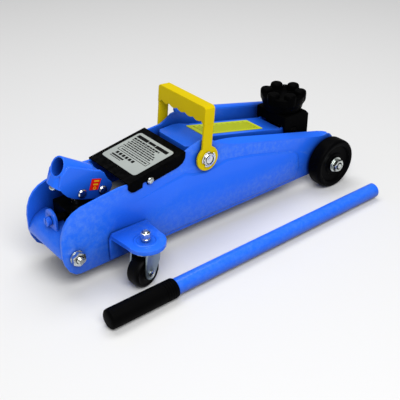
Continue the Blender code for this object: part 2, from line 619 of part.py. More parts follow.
for s, nm in ((-1, "near"), (1, "far")):
    cy = s * CAST_Y
    y_in = s * (EMB + GAP)
    y_fl = s * (EMB + GAP + 3.0)
    br = prism_y("caster_bracket_" + nm,
                 [(-141.0, 24.0), (-141.0, 50.0), (-137.0, 56.5), (-90.0, 56.5),
                  (-87.0, 52.0), (-87.0, 40.0), (-96.0, 24.0)],
                 min(y_in, y_fl), max(y_in, y_fl), *PAINT)
    R = 23.0
    cap = [(CAST_X + R * math.cos(math.radians(a)), cy + s * R * math.sin(math.radians(a)))
           for a in range(-10, 191, 20)]
    plan = [(-88.5, s * (EMB + 1.6))] + cap + [(-139.5, s * (EMB + 1.6))]
    capi = [(CAST_X + (R - 2.6) * math.cos(math.radians(a)),
             cy + s * (R - 2.6) * math.sin(math.radians(a))) for a in range(-10, 191, 20)]
    plani = [(-91.3, s * (EMB + 4.9))] + capi + [(-136.7, s * (EMB + 4.9))]
    lobe = prism_z("caster_lobe_" + nm, plan, 50.2, 55.4)
    cut(lobe, prism_z("caster_lobe_in_" + nm, plani, 40.0, 52.6))
    join(br, lobe)
    cut(br, lathe("caster_bolt_hole_" + nm, [(3.7, 40), (3.7, 60)], (CAST_X, cy, 0), (0, 0, 1),
                  seg=SEG_S))
    bolt = lathe("caster_bolt_" + nm,
                 [(7.0, 41.2), (7.0, 44.2), (3.4, 44.2), (3.4, 67.8), (2.7, 68.5)],
                 (CAST_X, cy, 0), (0, 0, 1), *ZN, seg=SEG_S)
    nut = prism_z("caster_nut_" + nm, hexagon(10.6, CAST_X, cy, 0.2), 60.6, 66.2, *ZN)
    join(nut, lathe("caster_collar_" + nm, [(5.0, 55.7), (5.0, 58.4), (4.5, 58.8), (4.5, 61.2)],
                    (CAST_X, cy, 0), (0, 0, 1), seg=SEG_S))
    cut(nut, lathe("caster_nut_hole_" + nm, [(3.7, 50), (3.7, 70)], (CAST_X, cy, 0), (0, 0, 1),
                   seg=SEG_S))
    fx = CAST_X + CAST_TRAIL
    fork = lathe("caster_fork_" + nm,
                 [(3.8, 44.6), (16.5, 44.6), (16.5, 47.0), (14.0, 49.0), (14.0, 52.2), (3.8, 52.2)],
                 (CAST_X, cy, 0), (0, 0, 1), ZINC, 0.8, 0.4, seg=SEG_S, ring=True)
    for k in (-1, 1):
        y0, y1 = sorted((cy + k * 10.3, cy + k * 12.7))
        leg_p = ([(CAST_X + 10.0, 46.6), (CAST_X - 12.0, 46.6), (fx - 7.6, 30.0)]
                 + arc(fx, CAST_R, 7.4, 190, 350, 6) + [(CAST_X + 8.0, 32.0)])
        side_leg = prism_y("caster_leg_%s_%d" % (nm, k), leg_p, y0, y1)
        swivelled(cy, CAST_TURN[nm], side_leg)
        join(fork, side_leg)
    hole = rod("caster_fork_hole_" + nm, fx, CAST_R, cy - 20, cy + 20, 3.3, seg=SEG_S)
    cut(fork, hole)
    wheel = lathe("caster_wheel_" + nm,
          [(3.3, 0), (9.0, 0), (11.0, 1.4), (15.4, 1.4), (17.4, 0.8), (19.2, 2.6),
           (CAST_R, 5.0), (CAST_R, 13.2), (19.2, 15.6), (17.4, 17.4), (15.4, 16.8),
           (11.0, 16.8), (9.0, 18.2), (3.3, 18.2)],
          (fx, cy - 9.1, CAST_R), (0, 1, 0), RUBBER, 0.0, 0.5, seg=40, ring=True)
    axle = lathe("caster_axle_" + nm,
          [(2.2, -15.0), (4.6, -14.2), (4.6, -13.0), (3.0, -13.0), (3.0, 13.0), (4.6, 13.0),
           (4.6, 14.2), (2.2, 15.0)],
          (fx, cy, CAST_R), (0, 1, 0), *ZN, seg=SEG_S)
    swivelled(cy, CAST_TURN[nm], hole, wheel, axle)

# -------------------------------------------------------------------- lever
A, B = Vector(LEVER_A), Vector(LEVER_B)
d = (B - A)
L = d.length
lathe("lever_tube",
      [(TUBE_R - 0.8, 1.2), (TUBE_R, 2.0), (TUBE_R, L - 0.6), (TUBE_R - 0.6, L),
       (TUBE_R - 1.8, L), (TUBE_R - 1.8, 1.2)],
      LEVER_A, d, *PAINT, ring=True)
lathe("lever_grip",
      [(0, -2.6), (8.0, -2.6), (10.8, -1.4), (GRIP_R, 1.2), (GRIP_R, GRIP_LEN - 1.0),
       (GRIP_R - 0.7, GRIP_LEN), (TUBE_R + GAP, GRIP_LEN), (TUBE_R + GAP, 0.9), (0, 0.9)],
      LEVER_A, d, RUBBER, 0.0, 0.6)
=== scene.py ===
"""Looks of a small hydraulic trolley jack, built around its fixed, jointed frame."""
import math

import bmesh
import bpy
from mathutils import Matrix, Vector


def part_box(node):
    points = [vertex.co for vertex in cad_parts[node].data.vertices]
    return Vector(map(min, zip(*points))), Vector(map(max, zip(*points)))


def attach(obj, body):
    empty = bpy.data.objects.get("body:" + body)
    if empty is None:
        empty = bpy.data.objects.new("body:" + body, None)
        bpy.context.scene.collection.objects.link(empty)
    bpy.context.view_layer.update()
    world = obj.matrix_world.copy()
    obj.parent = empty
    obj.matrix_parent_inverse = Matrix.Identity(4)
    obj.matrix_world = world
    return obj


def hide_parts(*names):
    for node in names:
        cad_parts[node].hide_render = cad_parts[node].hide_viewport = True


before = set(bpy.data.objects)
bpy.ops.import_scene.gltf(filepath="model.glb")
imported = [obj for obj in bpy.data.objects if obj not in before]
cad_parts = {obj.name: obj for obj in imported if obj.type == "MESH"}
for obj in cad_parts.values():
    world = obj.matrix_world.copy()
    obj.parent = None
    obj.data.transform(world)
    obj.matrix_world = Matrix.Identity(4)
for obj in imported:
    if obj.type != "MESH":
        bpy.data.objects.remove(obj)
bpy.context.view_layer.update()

# ------------------------------------------------------------------ measures
# Pieces are shaped in millimetres in the jack's own frame: X forward from the
# main pivot, Y across it from the middle (minus is the near side), Z up.
MM = 0.001
pivot_low, pivot_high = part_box("pivot_shaft")
ORIGIN = Vector(((pivot_low.x + pivot_high.x) / 2, (pivot_low.y + pivot_high.y) / 2, 0.0))
TO_ROW = Matrix.Translation(ORIGIN) @ Matrix.Scale(MM, 4)
TO_JACK = TO_ROW.inverted()
SIDES = (("near", -1.0), ("far", 1.0))
CASTER_TURN = {"near": math.radians(13.0), "far": 0.0}   # how each caster stands at rest
LEVER_START = Vector((-193.0, -118.6, 12.2))             # grip end of the loose lever
LEVER_STOP = Vector((231.0, -113.7, 9.75))               # its bare end
PRINT_LIFT = 0.06                                        # how far ink stands off its label
ROUNDING_STEPS = 4                                       # segments in a rounded corner
BEVEL_STEPS = 3                                          # segments across a soft edge
FLOW = 0.5                                               # how far each smoothing round moves
CORNER_SHARE = 0.45                                      # most of a side that a corner may use
TINY = 0.02                                              # corners under this stay sharp
RIM_ANGLE = 40.0                                         # degrees that make a slab's edge a rim


def node_box(node):
    """Lowest and highest corner of a CAD node, in millimetres."""
    low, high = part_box(node)
    return TO_JACK @ low, TO_JACK @ high


def node_centre(node):
    """Middle of a CAD node's box, in millimetres."""
    low, high = node_box(node)
    return (low + high) / 2


PIVOT = node_centre("pivot_shaft")
AXLE = node_centre("front_axle")
TIE = node_centre("tie_bolt")


# ----------------------------------------------------------------- mesh tools
def eased(points, radius, closed=False):
    """The same outline with its corners rounded off."""
    made = []
    count = len(points)
    for i, point in enumerate(points):
        if not closed and i in (0, count - 1):
            made.append(tuple(point))
            continue
        here = Vector(point)
        back, ahead = Vector(points[i - 1]) - here, Vector(points[(i + 1) % count]) - here
        reach = min(radius, CORNER_SHARE * back.length, CORNER_SHARE * ahead.length)
        if reach < TINY:
            made.append(tuple(point))
            continue
        a, b = here + back.normalized() * reach, here + ahead.normalized() * reach
        for k in range(ROUNDING_STEPS + 1):
            t = k / ROUNDING_STEPS
            made.append(tuple(a * (1 - t) ** 2 + here * 2 * t * (1 - t) + b * t * t))
    return made


def arc(cx, cz, radius, start, end, steps):
    """Points on a round, angles in degrees."""
    turns = [math.radians(start + (end - start) * k / steps) for k in range(steps + 1)]
    return [(cx + radius * math.cos(t), cz + radius * math.sin(t)) for t in turns]


def add(target, part):
    """Puts everything in part into target, and frees part."""
    mesh = bpy.data.meshes.new("part")
    part.to_mesh(mesh)
    part.free()
    target.from_mesh(mesh)
    bpy.data.meshes.remove(mesh)


def aim(start, axis):
    """Turns local +Z to the axis and moves to start."""
    turn = Vector((0, 0, 1)).rotation_difference(Vector(axis)).to_matrix().to_4x4()
    return Matrix.Translation(Vector(start)) @ turn


def turned(bm, profile, start, axis, steps=72, closed=False, ease=0.0):
    """Spins (radius, height) points about an axis."""
    if ease:
        profile = eased(profile, ease, closed)
    part = bmesh.new()
    ring = [part.verts.new((r, 0.0, h)) for r, h in profile]
    edges = [part.edges.new(pair) for pair in zip(ring, ring[1:])]
    if closed:
        edges.append(part.edges.new((ring[-1], ring[0])))
    bmesh.ops.spin(part, geom=ring + edges, cent=(0, 0, 0), axis=(0, 0, 1), dvec=(0, 0, 0),
                   angle=2 * math.pi, steps=steps, use_merge=True, use_duplicate=False)
    bmesh.ops.remove_doubles(part, verts=part.verts, dist=1e-4)
    bmesh.ops.recalc_face_normals(part, faces=part.faces)
    part.transform(aim(start, axis))
    add(bm, part)


def sharp_edges(bm, angle):
    """Edges where two faces meet at more than angle, in degrees."""
    limit = math.radians(angle)
    return [e for e in bm.edges if len(e.link_faces) == 2 and e.calc_face_angle(0.0) > limit]


def bevelled(bm, edges, width, segments=BEVEL_STEPS):
    """Rounds the given edges."""
    if edges:
        bmesh.ops.bevel(bm, geom=edges, offset=width, offset_type="OFFSET", segments=segments,
                        profile=0.5, affect="EDGES", clamp_overlap=True, material=-1)


def slab(bm, outline, low, high, ease):
    """An (x, z) outline given thickness from low to high along Y, with rims softened by ease."""
    part = bmesh.new()
    face = part.faces.new([part.verts.new((x, low, z)) for x, z in outline])
    made = bmesh.ops.extrude_face_region(part, geom=[face])
    moved = [v for v in made["geom"] if isinstance(v, bmesh.types.BMVert)]
    bmesh.ops.translate(part, verts=moved, vec=(0, high - low, 0))
    bmesh.ops.recalc_face_normals(part, faces=part.faces)
    if ease:
        bevelled(part, sharp_edges(part, RIM_ANGLE), ease)
    add(bm, part)


def ring_loop(part, place, segments=48):
    """A loop of edges whose points are place(angle)."""
    verts = bmesh.ops.create_circle(part, cap_ends=False, radius=1.0, segments=segments)["verts"]
    for v in verts:
        v.co = place(math.atan2(v.co.y, v.co.x))
    return list({e for v in verts for e in v.link_edges})


def hex_nut(bm, flats, thick, bore, start, axis, turn=0.0):
    """A chamfered six-sided nut with a round bore."""
    part = bmesh.new()
    flat, lip = flats / 2, 0.7           # lip is the countersink at each end of the bore
    round_top = flat * 0.96

    def corner(angle):
        return flat / math.cos((angle + math.pi / 6) % (math.pi / 3) - math.pi / 6)

    def drop(angle):
        return (corner(angle) - round_top) * math.tan(math.radians(30.0))

    def circle(radius, height):
        return lambda a: Vector((radius * math.cos(a), radius * math.sin(a), height))

    def flank(height, sign):
        return lambda a: Vector((corner(a) * math.cos(a), corner(a) * math.sin(a),
                                 height + sign * drop(a)))

    loops = [ring_loop(part, place) for place in (
        circle(round_top, 0.0), flank(0.0, 1), flank(thick, -1), circle(round_top, thick),
        circle(bore + lip, thick), circle(bore, thick - lip), circle(bore, lip),
        circle(bore + lip, 0.0))]
    for a, b in zip(loops, loops[1:] + loops[:1]):
        bmesh.ops.bridge_loops(part, edges=a + b)
    bmesh.ops.recalc_face_normals(part, faces=part.faces)
    part.transform(aim(start, axis) @ Matrix.Rotation(turn, 4, "Z"))
    add(bm, part)


def threads(radius, low, high, pitch=1.25, depth=0.55):
    """A cut thread's outline between two heights, as (radius, height) points."""
    points, height = [], low
    while height + pitch <= high:
        points += [(radius - depth, height), (radius, height + pitch * 0.5)]
        height += pitch
    return points + [(radius - depth, height), (radius - depth, high)]


def cad_copy(node):
    """A CAD node's surface as one clean shell, in millimetres."""
    bm = bmesh.new()
    bm.from_mesh(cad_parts[node].data)
    bm.transform(TO_JACK)
    bmesh.ops.remove_doubles(bm, verts=bm.verts, dist=1e-3)
    bmesh.ops.dissolve_limit(bm, angle_limit=math.radians(1.0), verts=bm.verts, edges=bm.edges,
                             delimit=set())
    return bm


def softened(node, width, angle=25.0):
    """A CAD node with its edges rounded."""
    bm = cad_copy(node)
    bevelled(bm, sharp_edges(bm, angle), width)
    return bm


def melted(bm, grain, rounds):
    """The shells in bm run together into one skin, as a casting or a weld does."""
    mesh = bpy.data.meshes.new("melt")
    bmesh.ops.triangulate(bm, faces=bm.faces)
    bm.to_mesh(mesh)
    bm.free()
    blank = bpy.data.objects.new("melt", mesh)
    bpy.context.scene.collection.objects.link(blank)
    remesh = blank.modifiers.new("skin", "REMESH")
    remesh.mode = "VOXEL"
    remesh.voxel_size = grain
    smooth = blank.modifiers.new("flow", "SMOOTH")
    smooth.factor = FLOW
    smooth.iterations = rounds
    bpy.context.view_layer.update()
    graph = bpy.context.evaluated_depsgraph_get()
    made = bpy.data.meshes.new_from_object(blank.evaluated_get(graph))
    out = bmesh.new()
    out.from_mesh(made)
    bpy.data.objects.remove(blank)
    bpy.data.meshes.remove(mesh)
    bpy.data.meshes.remove(made)
    return out


def publish(name, bm, body, finish, nodes=(), sharp=35.0):
    """Makes a finished piece of bm, in place, riding on a body."""
    bm.transform(TO_ROW)
    mesh = bpy.data.meshes.new(name)
    bm.to_mesh(mesh)
    bm.free()
    piece = bpy.data.objects.new(name, mesh)
    bpy.context.scene.collection.objects.link(piece)
    mesh.materials.append(finish)
    mesh.shade_smooth()
    if sharp:
        mesh.set_sharp_from_angle(angle=math.radians(sharp))
    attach(piece, body)
    if nodes:
        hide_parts(*nodes)
    return piece


# ------------------------------------------------------------------ finishes
def new_group(name, takes, gives):
    """A shader node group with the named inputs and outputs."""
    tree = bpy.data.node_groups.new(name, "ShaderNodeTree")
    for label, kind, value in takes:
        socket = tree.interface.new_socket(label, in_out="INPUT", socket_type=kind)
        if value is not None:
            socket.default_value = value
    for label, kind in gives:
        tree.interface.new_socket(label, in_out="OUTPUT", socket_type=kind)
    return tree, tree.nodes.new("NodeGroupInput"), tree.nodes.new("NodeGroupOutput")


def math_node(tree, operation, a, b=None, clamp=False):
    """A Math node; a and b are sockets or plain numbers."""
    node = tree.nodes.new("ShaderNodeMath")
    node.operation = operation
    node.use_clamp = clamp
    for slot, value in zip(node.inputs, (a, b)):
        if isinstance(value, (int, float)):
            slot.default_value = value
        elif value is not None:
            tree.links.new(value, slot)
    return node.outputs[0]


def noise(tree, vector, scale, detail=2.0, rough=0.5):
    """A Noise Texture's value; each setting is a socket or a plain number."""
    node = tree.nodes.new("ShaderNodeTexNoise")
    for label, value in (("Scale", scale), ("Detail", detail), ("Roughness", rough)):
        if isinstance(value, (int, float)):
            node.inputs[label].default_value = value
        else:
            tree.links.new(value, node.inputs[label])
    tree.links.new(vector, node.inputs["Vector"])
    return node.outputs["Fac"]


def mix_colour(tree, share, a, b):
    """Colour a turning to b as share goes from 0 to 1."""
    node = tree.nodes.new("ShaderNodeMix")
    node.data_type = "RGBA"
    for slot, value in ((node.inputs[0], share), (node.inputs[6], a), (node.inputs[7], b)):
        if isinstance(value, (int, float)):
            slot.default_value = value
        elif isinstance(value, tuple):
            slot.default_value = (*value, 1.0)
        else:
            tree.links.new(value, slot)
    return node.outputs[2]


def cloud_group():
    """A finish that is a little deeper in some places than in others."""
    tree, takes, gives = new_group(
        "cloudy colour",
        [("Vector", "NodeSocketVector", None), ("Colour", "NodeSocketColor", (1, 1, 1, 1)),
         ("Deep Colour", "NodeSocketColor", (0, 0, 0, 1)), ("Scale", "NodeSocketFloat", 30.0),
         ("Amount", "NodeSocketFloat", 0.3)],
        [("Colour", "NodeSocketColor")])
    clear = 0.35                         # noise below this leaves the colour alone
    value = noise(tree, takes.outputs["Vector"], scale=takes.outputs["Scale"], detail=3.0)
    share = math_node(tree, "MULTIPLY", math_node(tree, "SUBTRACT", value, clear, clamp=True),
                      takes.outputs["Amount"])
    colour = mix_colour(tree, share, takes.outputs["Colour"], takes.outputs["Deep Colour"])
    tree.links.new(colour, gives.inputs["Colour"])
    return tree


def skin_group():
    """Fine ripple and speckle of a sprayed, moulded or cast skin."""
    tree, takes, gives = new_group(
        "fine skin",
        [("Vector", "NodeSocketVector", None), ("Ripple Scale", "NodeSocketFloat", 600.0),
         ("Speckle Scale", "NodeSocketFloat", 2500.0), ("Speckle", "NodeSocketFloat", 0.3),
         ("Roughness", "NodeSocketFloat", 0.4), ("Roughness Spread", "NodeSocketFloat", 0.1)],
        [("Height", "NodeSocketFloat"), ("Roughness", "NodeSocketFloat")])
    ripple = noise(tree, takes.outputs["Vector"], scale=takes.outputs["Ripple Scale"], detail=1.0)
    speckle = noise(tree, takes.outputs["Vector"], scale=takes.outputs["Speckle Scale"],
                    detail=2.0)
    height = math_node(tree, "ADD", ripple,
                       math_node(tree, "MULTIPLY", speckle, takes.outputs["Speckle"]))
    tree.links.new(height, gives.inputs["Height"])
    patches = noise(tree, takes.outputs["Vector"], scale=45.0, detail=4.0)
    spread = math_node(tree, "MULTIPLY", math_node(tree, "SUBTRACT", patches, 0.5),
                       takes.outputs["Roughness Spread"])
    tree.links.new(math_node(tree, "ADD", takes.outputs["Roughness"], spread, clamp=True),
                   gives.inputs["Roughness"])
    return tree


def painted_shade_group():
    """Painted shade in deep recesses, from ambient occlusion: 1 in the open, less where it is
    closed in.
    """
    tree, takes, gives = new_group(
        "recess shade",
        [("Reach", "NodeSocketFloat", 0.06), ("Depth", "NodeSocketFloat", 0.6)],
        [("Shade", "NodeSocketFloat")])
    falloff = 1.05
    hidden = tree.nodes.new("ShaderNodeAmbientOcclusion")
    hidden.samples = 8
    tree.links.new(takes.outputs["Reach"], hidden.inputs["Distance"])
    closed = math_node(tree, "SUBTRACT", 1.0, hidden.outputs["AO"], clamp=True)
    shade = math_node(tree, "SUBTRACT", 1.0,
                      math_node(tree, "MULTIPLY", math_node(tree, "POWER", closed, falloff),
                                takes.outputs["Depth"]), clamp=True)
    tree.links.new(shade, gives.inputs["Shade"])
    return tree


def wear_group():
    """Where outer edges are rubbed: 1 on worn edges, 0 on flats and hollows."""
    tree, takes, gives = new_group(
        "rubbed edges",
        [("Vector", "NodeSocketVector", None), ("Amount", "NodeSocketFloat", 0.5),
         ("Edge", "NodeSocketFloat", 0.52)],
        [("Mask", "NodeSocketFloat")])
    shape = tree.nodes.new("ShaderNodeNewGeometry").outputs["Pointiness"]
    patches = noise(tree, takes.outputs["Vector"], scale=160.0, detail=6.0, rough=0.7)
    edge_gain, patch_floor, patch_gain = 14.0, 0.42, 5.0
    over = math_node(tree, "SUBTRACT", shape, takes.outputs["Edge"])
    raised = math_node(tree, "MULTIPLY", over, edge_gain, clamp=True)
    rubbed = math_node(tree, "SUBTRACT", patches, patch_floor)
    broken = math_node(tree, "MULTIPLY", rubbed, patch_gain, clamp=True)
    mask = math_node(tree, "MULTIPLY", math_node(tree, "MULTIPLY", raised, broken),
                     takes.outputs["Amount"], clamp=True)
    tree.links.new(mask, gives.inputs["Mask"])
    return tree


def turning_group():
    """Fine marks and patches of a turned, drawn or plated metal."""
    tree, takes, gives = new_group(
        "tool marks",
        [("Vector", "NodeSocketVector", None), ("Roughness", "NodeSocketFloat", 0.25),
         ("Depth", "NodeSocketFloat", 0.15)],
        [("Height", "NodeSocketFloat"), ("Roughness", "NodeSocketFloat")])
    streak = noise(tree, takes.outputs["Vector"], scale=900.0, detail=3.0, rough=0.6)
    blotch = noise(tree, takes.outputs["Vector"], scale=60.0, detail=3.0)
    lift = math_node(tree, "MULTIPLY", math_node(tree, "SUBTRACT", streak, 0.5),
                     takes.outputs["Depth"])
    blotch_share = 0.2
    spread = math_node(tree, "MULTIPLY", math_node(tree, "SUBTRACT", blotch, 0.5), blotch_share)
    rough = math_node(tree, "ADD", takes.outputs["Roughness"],
                      math_node(tree, "ADD", lift, spread), clamp=True)
    tree.links.new(streak, gives.inputs["Height"])
    tree.links.new(rough, gives.inputs["Roughness"])
    return tree


GROUPS = {"cloud": cloud_group(), "skin": skin_group(), "wear": wear_group(),
          "recess": painted_shade_group(), "turning": turning_group()}


class Finish:
    """A material being built: its node tree, its shader, and object coordinates."""

    def __init__(self, name, **constants):
        self.material = bpy.data.materials.new(name + "_finish")
        self.material["slot"] = name
        self.material.use_nodes = True
        self.tree = self.material.node_tree
        self.shader = self.tree.nodes["Principled BSDF"]
        for label, value in constants.items():
            self.shader.inputs[label.replace("_", " ")].default_value = value
        self.spot = self.tree.nodes.new("ShaderNodeTexCoord").outputs["Object"]

    def use(self, kind, **values):
        """Places a shared group with this finish's own values, and gives its outputs."""
        node = self.tree.nodes.new("ShaderNodeGroup")
        node.node_tree = GROUPS[kind]
        for label, value in values.items():
            slot = node.inputs[label.replace("_", " ")]
            slot.default_value = (*value, 1.0) if isinstance(value, tuple) else value
        if "Vector" in node.inputs:
            self.tree.links.new(self.spot, node.inputs["Vector"])
        return node.outputs

    def wire(self, socket, label):
        """Feeds one of the shader's inputs."""
        self.tree.links.new(socket, self.shader.inputs[label])

    def bump(self, height, distance, strength):
        """Feeds a height to the shader's normal; distance is in metres."""
        node = self.tree.nodes.new("ShaderNodeBump")
        node.inputs["Distance"].default_value = distance
        node.inputs["Strength"].default_value = strength
        self.tree.links.new(height, node.inputs["Height"])
        self.wire(node.outputs["Normal"], "Normal")


def sprayed_paint(name, colour, deep, primer, rough=0.3, wear=0.35, amount=0.3, recess=0.0,
                  painted_shade_colour=(0.0, 0.0, 0.0), **constants):
    """Sprayed and baked enamel: cloudy depth, orange peel, edges rubbed to the primer, and painted
    shade in recesses when recess is set.
    """
    finish = Finish(name, **constants)
    cloud = finish.use("cloud", Colour=colour, Deep_Colour=deep, Scale=22.0, Amount=amount)
    mask = finish.use("wear", Amount=wear)["Mask"]
    worn = mix_colour(finish.tree, mask, cloud["Colour"], primer)
    # Painted shade: ambient occlusion pulls the colour towards the dark recess colour where the
    # surface is closed in.
    if recess:
        shade = finish.use("recess", Depth=recess)["Shade"]
        worn = mix_colour(finish.tree, shade, painted_shade_colour, worn)
    finish.wire(worn, "Base Color")
    skin = finish.use("skin", Ripple_Scale=420.0, Speckle=0.12, Roughness=rough,
                      Roughness_Spread=0.12)
    finish.wire(skin["Roughness"], "Roughness")
    finish.bump(skin["Height"], 0.00006, 0.35)
    return finish.material


def plated(name, colour, deep, rough):
    """Plated or turned steel."""
    finish = Finish(name, Metallic=1.0)
    cloud = finish.use("cloud", Colour=colour, Deep_Colour=deep, Scale=90.0, Amount=0.9)
    finish.wire(cloud["Colour"], "Base Color")
    marks = finish.use("turning", Roughness=rough, Depth=0.2)
    finish.wire(marks["Roughness"], "Roughness")
    finish.bump(marks["Height"], 0.00003, 0.25)
    return finish.material


def moulded(name, colour, deep, rough, speckle, depth, wear=0.0, worn=(0.2, 0.2, 0.2),
            scale=700.0, **constants):
    """Moulded plastic, rubber or foam with a fine skin."""
    finish = Finish(name, **constants)
    cloud = finish.use("cloud", Colour=colour, Deep_Colour=deep, Scale=35.0, Amount=0.8)
    if wear:
        mask = finish.use("wear", Amount=wear)["Mask"]
        finish.wire(mix_colour(finish.tree, mask, cloud["Colour"], worn), "Base Color")
    else:
        finish.wire(cloud["Colour"], "Base Color")
    skin = finish.use("skin", Ripple_Scale=scale, Speckle=speckle, Roughness=rough)
    finish.wire(skin["Roughness"], "Roughness")
    finish.bump(skin["Height"], depth, 0.5)
    return finish.material


# Each finish gives its usual colour, then its deeper one; depth is its relief in metres.
# The blue paint's recess colour, a deep navy, is painted shade for its closed-in places.
BLUE = sprayed_paint("blue_paint", (0.018, 0.165, 1.0), (0.006, 0.100, 0.86),
                     primer=(0.12, 0.30, 0.90), rough=0.30, wear=0.35, amount=0.15,
                     recess=1.0, painted_shade_colour=(0.0, 0.004, 0.10),
                     Specular_IOR_Level=0.18, Coat_Weight=0.12, Coat_Roughness=0.08)
BLACK = sprayed_paint("black_paint", (0.0012, 0.0012, 0.0013), (0.0005, 0.0005, 0.0006),
                      primer=(0.02, 0.02, 0.02), rough=0.36, wear=0.25,
                      Specular_IOR_Level=0.01)
CASTING = sprayed_paint("cast_grey", (0.16, 0.17, 0.18), (0.08, 0.085, 0.09),
                        primer=(0.4, 0.4, 0.4), rough=0.5, wear=0.5, amount=0.6)
ZINC = plated("zinc", (0.66, 0.70, 0.68), (0.40, 0.42, 0.38), rough=0.27)
STEEL = plated("bright_steel", (0.78, 0.80, 0.81), (0.50, 0.52, 0.54), rough=0.16)
FORK = plated("fork_zinc", (0.36, 0.44, 0.48), (0.24, 0.29, 0.33), rough=0.42)
YELLOW = moulded("yellow_plastic", (0.70, 0.53, 0.001), (0.60, 0.45, 0.001),
                 rough=0.5, speckle=0.3, depth=0.00005, Specular_IOR_Level=0.05)
WHEEL = moulded("wheel_black", (0.0015, 0.0015, 0.0018), (0.0006, 0.0006, 0.0008),
                rough=0.42, speckle=0.4, depth=0.00005, wear=0.3, worn=(0.012, 0.012, 0.012),
                Specular_IOR_Level=0.02)
TREAD = moulded("caster_tread", (0.002, 0.002, 0.0022), (0.001, 0.001, 0.001),
                rough=0.45, speckle=0.6, depth=0.00006, wear=0.4, worn=(0.03, 0.029, 0.028),
                Specular_IOR_Level=0.06)
GRIP = moulded("grip_foam", (0.0008, 0.0008, 0.001), (0.0004, 0.0004, 0.0005),
               rough=0.6, speckle=1.0, depth=0.00012, scale=1100.0, Specular_IOR_Level=0.03)
SILVER = moulded("silver_label", (0.46, 0.50, 0.48), (0.36, 0.39, 0.38),
                 rough=0.4, speckle=0.2, depth=0.00002, Metallic=0.35)
LIME = moulded("lime_label", (0.56, 0.64, 0.010), (0.44, 0.50, 0.010),
               rough=0.45, speckle=0.1, depth=0.00002, Specular_IOR_Level=0.15)
RED = moulded("red_label", (0.80, 0.010, 0.003), (0.66, 0.006, 0.002),
              rough=0.4, speckle=0.1, depth=0.00002, Specular_IOR_Level=0.15)
INK = moulded("label_ink", (0.004, 0.004, 0.004), (0.010, 0.010, 0.010),
              rough=0.5, speckle=0.1, depth=0.00001, Specular_IOR_Level=0.05)
OLIVE = moulded("olive_ink", (0.13, 0.14, 0.006), (0.18, 0.19, 0.008),
                rough=0.5, speckle=0.1, depth=0.00001, Specular_IOR_Level=0.1)
GOLD = moulded("gold_ink", (0.90, 0.42, 0.010), (0.80, 0.34, 0.010),
               rough=0.5, speckle=0.1, depth=0.00001, Specular_IOR_Level=0.1)


# ---------------------------------------------------------------- frame parts
def side_plates():
    """The two pressed side plates."""
    for label, _ in SIDES:
        node = "side_plate_" + label
        publish(node + "_pressed", softened(node, 0.9, angle=18.0), "frame", BLUE, [node])


def front_wheels():
    """Moulded wheels: rounded tread, stepped face and a raised hub."""
    for label, side in SIDES:
        node = "front_wheel_" + label
        low, high = node_box(node)
        radius, wide = (high.z - low.z) / 2, high.y - low.y
        inner = low.y if side > 0 else high.y
        bore = 7.3                       # clears the axle's turned middle
        profile = [
            (bore, 0.2), (13.0, 0.2), (14.0, 2.2), (24.0, 2.2), (26.0, 0.0), (radius - 2.9, 0.0),
            (radius - 0.9, 0.9), (radius, 2.8), (radius, wide - 0.8), (radius - 0.8, wide + 1.4),
            (radius - 3.0, wide + 3.0), (27.6, wide + 2.6), (26.0, wide + 1.4),
            (24.8, wide - 0.8), (16.0, wide - 1.4), (14.6, wide - 0.3), (13.2, wide),
            (bore, wide)]
        bm = bmesh.new()
        turned(bm, profile, (AXLE.x, inner, AXLE.z), (0, side, 0), steps=128, closed=True,
               ease=0.9)
        publish(node + "_moulded", bm, node, WHEEL, [node])


def axle_ends():
    """Washers, chamfered nuts and cut threads on the front axle."""
    hole = 4.5
    for label, side in SIDES:
        washer = "axle_washer_" + label
        low, high = node_box(washer)
        face = low.y if side > 0 else high.y
        outer, thick = (high.z - low.z) / 2, high.y - low.y
        bm = bmesh.new()
        turned(bm, [(hole, 0), (outer, 0), (outer, thick), (hole, thick)],
               (AXLE.x, face, AXLE.z), (0, side, 0), steps=72, closed=True, ease=0.4)
        publish(washer + "_turned", bm, "frame", ZINC, [washer])
        nut = "axle_nut_" + label
        low, high = node_box(nut)
        face = low.y if side > 0 else high.y
        bm = bmesh.new()
        hex_nut(bm, 15.0, high.y - low.y, hole, (AXLE.x, face, AXLE.z), (0, side, 0), turn=0.3)
        publish(nut + "_cut", bm, "frame", ZINC, [nut])
    half = node_box("front_axle")[1].y
    end = threads(4.2, 61.0, half - 1.2) + [(3.2, half), (0.0, half)]
    start = [(r, -h) for r, h in reversed(end)]
    bm = bmesh.new()
    turned(bm, start + [(7.0, -60.9), (7.0, 60.9)] + end, (AXLE.x, 0, AXLE.z), (0, 1, 0), steps=64)
    publish("front_axle_turned", bm, "frame", ZINC, ["front_axle"])


def tie_bolt():
    """The threaded tie bolt, and a washer and nut at each of its ends."""
    half = node_box("tie_bolt")[1].y
    end = threads(4.0, 38.0, half - 1.0, pitch=1.0, depth=0.45) + [(3.0, half), (0.0, half)]
    start = [(r, -h) for r, h in reversed(end)]
    bm = bmesh.new()
    turned(bm, start + end, (TIE.x, 0, TIE.z), (0, 1, 0), steps=48)
    publish("tie_bolt_threaded", bm, "frame", ZINC, ["tie_bolt"])
    washer_thick = 1.2
    for label, side in SIDES:
        nut = "tie_nut_" + label
        low, high = node_box(nut)
        face = low.y if side > 0 else high.y
        bm = bmesh.new()
        turned(bm, [(4.4, 0), (8.7, 0), (8.7, washer_thick), (4.4, washer_thick)],
               (TIE.x, face, TIE.z), (0, side, 0), steps=60, closed=True, ease=0.35)
        hex_nut(bm, 15.5, high.y - low.y - washer_thick, 4.3,
                (TIE.x, face + side * washer_thick, TIE.z), (0, side, 0))
        publish(nut + "_cut", bm, "frame", ZINC, [nut])


